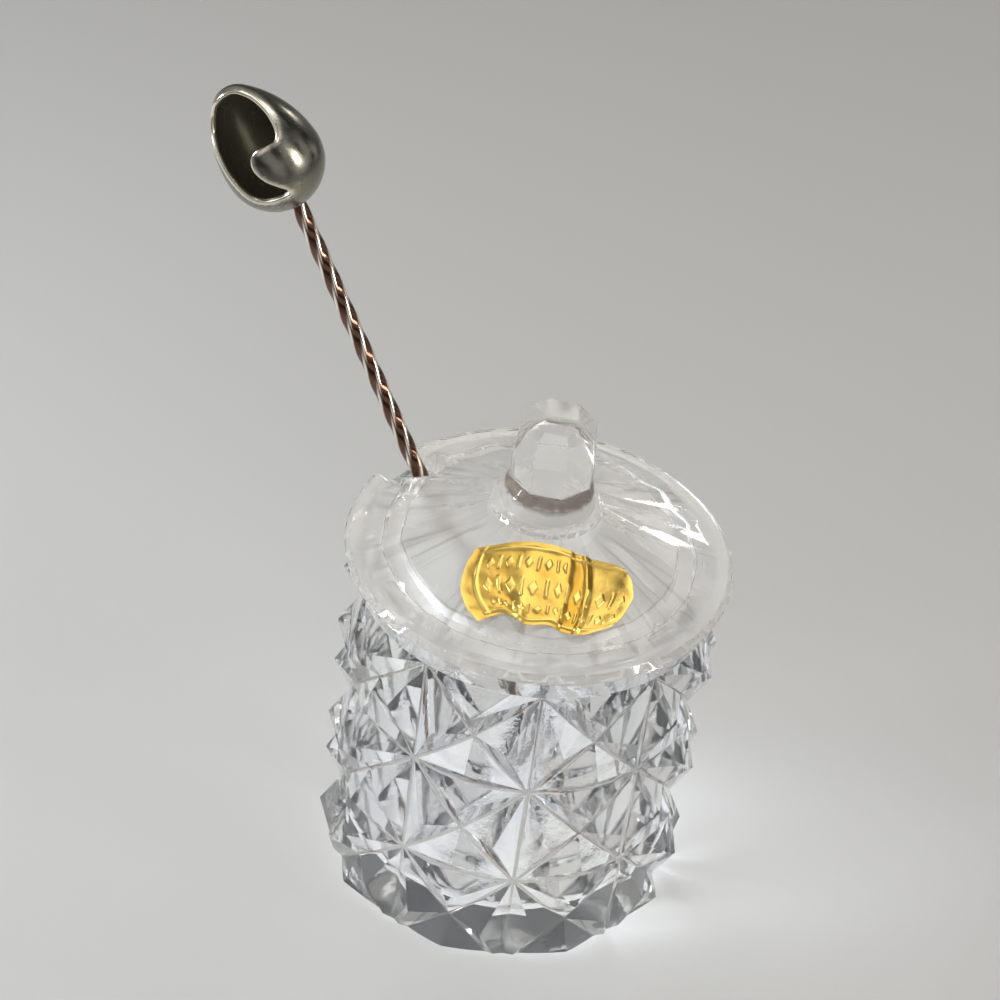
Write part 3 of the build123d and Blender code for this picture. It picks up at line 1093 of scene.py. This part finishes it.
    def build_socket(self) -> Piece:
        """Turns the small stepped socket that takes the stem, each step a rise in millimetres and a scale.

        Returns:
            The socket, in its place.
        """
        clear_selection()
        top, share = self.socket_foot
        bpy.ops.mesh.primitive_cylinder_add(vertices=40, radius=self.socket_radius * share * MM, depth=top * MM,
                                            location=(0, 0, top / 2 * MM))
        socket = named("spoon_socket")
        settle(socket)
        bpy.ops.object.mode_set(mode="EDIT")
        for rise, scale in self.socket_steps:
            pick(socket, lambda spot: spot.z > (top - 0.01) * MM)
            bpy.ops.mesh.extrude_region_move(TRANSFORM_OT_translate={"value": (0, 0, rise * MM)})
            bpy.ops.transform.resize(value=(scale, scale, 1), center_override=(0, 0, 0))
            top += rise
        bpy.ops.object.mode_set(mode="OBJECT")
        modify(socket, "soft steps", "BEVEL", width=0.12 * MM, segments=2, limit_method="ANGLE")
        mark_tarnish_and_painted_light(socket, lambda place: 0.1 if place.z > 0.6 else 0.5)
        socket.matrix_world = self.line.stem_frame(self.line.top())
        settle(socket)
        return socket

    def tarnish_and_painted_light(self, place: Vector, rim: Sequence[Vector]) -> float:
        """Gives how dark the shell is: painted shade inside, dull outside and a little lighter towards the socket as
        painted light, and a painted highlight on the lip round the rim.

        Args:
            place: A place on the shell, in millimetres.
            rim: Places along the mouth's rim.

        Returns:
            The darkness, from 0 to 1.
        """
        inset = self.egg.radius(place.z) - math.hypot(place.x, place.y)
        if inset > self.wall / 2:
            return 1.0
        lip = self.lip * max(0.3, min(1.0, (place.z - self.middle) / 6.0))
        far = min((place - spot).length for spot in rim) / lip
        return 0.5 * max(0.0, min(1.0, 2.0 * far - 1.0)) * (0.75 + 0.25 * place.z / self.egg.length)


# ------------------------------------------------------------------ studio
@dataclass(frozen=True)
class Lamp:
    """A soft square lamp that faces the pot: where it hangs and its width in millimetres, and its watts."""

    name: str
    place: Spot
    size: float
    power: float
    colour: Colour


@dataclass
class Studio:
    """A pale floor that sweeps up into a backdrop, soft lamps and the camera.

    A hair of air stays between the floor and the glass, so that the foot mirrors the cuts as a real one does.
    """

    elevation: float = 38.94
    roll: float = 8.02
    distance: float = 559.07
    target: Spot = (-8.5, 0.0, 85.0)
    lens: float = 110.5
    floor_colour: Colour = (0.54, 0.53, 0.51)
    floor_gap: float = 0.15
    room_light: float = 0.64
    patches: float = 2.6
    lamps: Sequence[Lamp] = (
        Lamp("window", (-460, -60, 330), 150, 2.4, (0.88, 0.94, 1.0)),
        Lamp("ceiling", (60, 160, 700), 460, 1.1, (1.0, 0.98, 0.95)),
        Lamp("room", (430, -160, 330), 110, 0.8, (1.0, 0.94, 0.86)),
        Lamp("doorway", (260, 560, 330), 90, 0.2, (1.0, 0.96, 0.90)),
    )

    def build(self) -> None:
        """Builds the floor, the world, the lamps and the camera."""
        self.build_floor()
        self.build_world()
        for lamp in self.lamps:
            self.add_lamp(lamp)
        self.add_camera()

    def build_floor(self) -> None:
        """Lays the floor and turns its far edge up into the backdrop."""
        clear_selection()
        bpy.ops.mesh.primitive_plane_add(size=3.0, location=(0, 0, -self.floor_gap * MM))
        floor = named("studio_floor")
        bpy.ops.object.mode_set(mode="EDIT")
        pick(floor, lambda spot: spot.y > 1.4, "EDGE")
        bpy.ops.mesh.extrude_region_move(TRANSFORM_OT_translate={"value": (0, 0, 1.8)})
        pick(floor, lambda spot: spot.y > 1.4 and spot.z < 0.1, "EDGE")
        bpy.ops.mesh.bevel(offset=0.7, segments=12)
        bpy.ops.object.mode_set(mode="OBJECT")
        smooth(floor, 60.0)
        material, nodes, links, shader = new_finish("studio floor")
        place, grain = add_node(nodes, "TexCoord"), add_node(nodes, "TexNoise", Scale=6.0)
        tones = add_ramp(nodes, (0.0, tuple(0.97 * part for part in self.floor_colour)), (1.0, self.floor_colour))
        wire(links, (place, "Object", grain, "Vector"), (grain, "Fac", tones, "Fac"),
             (tones, "Color", shader, "Base Color"))
        shader.inputs["Roughness"].default_value = 0.6
        dress(floor, material)

    def build_world(self) -> None:
        """Lights the room at a plain level, with the soft bright and dark places that glass needs to show."""
        world = bpy.data.worlds.new("studio room")
        world.use_nodes = True
        bpy.context.scene.world = world
        nodes, links = world.node_tree.nodes, world.node_tree.links
        look, patches = add_node(nodes, "TexCoord"), add_node(nodes, "TexNoise", Scale=self.patches, Detail=1.0)
        tones = add_ramp(nodes, (0.46, (0.05, 0.05, 0.055)), (0.57, (1.0, 0.99, 0.97)))
        wire(links, (look, "Generated", patches, "Vector"), (patches, "Fac", tones, "Fac"),
             (tones, "Color", nodes["Background"], "Color"))
        nodes["Background"].inputs["Strength"].default_value = self.room_light

    def add_lamp(self, lamp: Lamp) -> None:
        """Hangs a lamp and turns it to the pot."""
        data = bpy.data.lights.new(lamp.name, "AREA")
        data.energy, data.size, data.color = lamp.power, lamp.size * MM, lamp.colour
        piece = bpy.data.objects.new(lamp.name, data)
        piece.location = Vector(lamp.place) * MM
        piece.rotation_euler = (Vector((0, 0, 60)) * MM - piece.location).to_track_quat("-Z", "Y").to_euler()
        bpy.context.scene.collection.objects.link(piece)

    def add_camera(self) -> None:
        """Stands the camera in front, above the pot, and rolls it a little."""
        data = bpy.data.cameras.new("camera")
        data.lens, data.sensor_width = self.lens, 36.0
        camera = bpy.data.objects.new("camera", data)
        rise = math.radians(self.elevation)
        back = Vector((0, -math.cos(rise), math.sin(rise)))
        turn = Matrix.Rotation(math.pi / 2 - rise, 4, "X") @ Matrix.Rotation(math.radians(self.roll), 4, "Z")
        camera.matrix_world = Matrix.Translation((Vector(self.target) + back * self.distance) * MM) @ turn
        bpy.context.scene.collection.objects.link(camera)
        bpy.context.scene.camera = camera


def main() -> None:
    """Builds the pot piece by piece on its frame."""
    logging.basicConfig(level=logging.INFO, format="%(name)s %(message)s")
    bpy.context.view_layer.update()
    BENCH.build_pressed_ripple()
    BENCH.build_handling_marks()
    jar_crystal = CrystalFinish("jar crystal", (0.96, 0.97, 1.0), (0.99, 0.99, 0.98), satin=0.12, clearness=0.98)
    lid_crystal = CrystalFinish("lid crystal", (0.87, 0.86, 0.83), (0.92, 0.90, 0.86), satin=0.3, clearness=0.85,
                                dulled_and_shaded=(0.20, 0.16, 0.13), streaks=0.6)
    CutGlass("jar_body", Body.POT, Slot.JAR_GLASS, jar_crystal, ((29.2, 6.0, 72.0),),
             cut_radii=(30.5, 36.5), cut_heights=(1.5, 67.0)).build()
    CutGlass("lid", Body.LID, Slot.LID_GLASS, lid_crystal, ((36.5, 69.0, 73.45), (25.0, 73.0, 81.2)),
             cut_radii=(11.0, 32.4), cut_heights=(73.0, 87.0), groove_width=0.35, waist=(90.2, 92.9, 8.4),
             painted_shade=0.8).build()
    FoilLabel(FoilFinish()).build()
    line = SpoonLine()
    stem_silver = SilverFinish("stem silver", (0.90, 0.83, 0.73), (0.45, 0.32, 0.25), (0.13, 0.07, 0.05)).build()
    bowl_silver = SilverFinish("bowl silver", (0.86, 0.80, 0.68), (0.12, 0.125, 0.10), (0.19, 0.175, 0.125),
                               clean=0.20, smeared=0.34, shine=0.35).build()
    TwistedStem(line, stem_silver).build()
    SpoonBowl(line, bowl_silver).build()
    Studio().build()
    bpy.context.scene.view_settings.view_transform = "Standard"


if __name__ == "__main__":
    main()
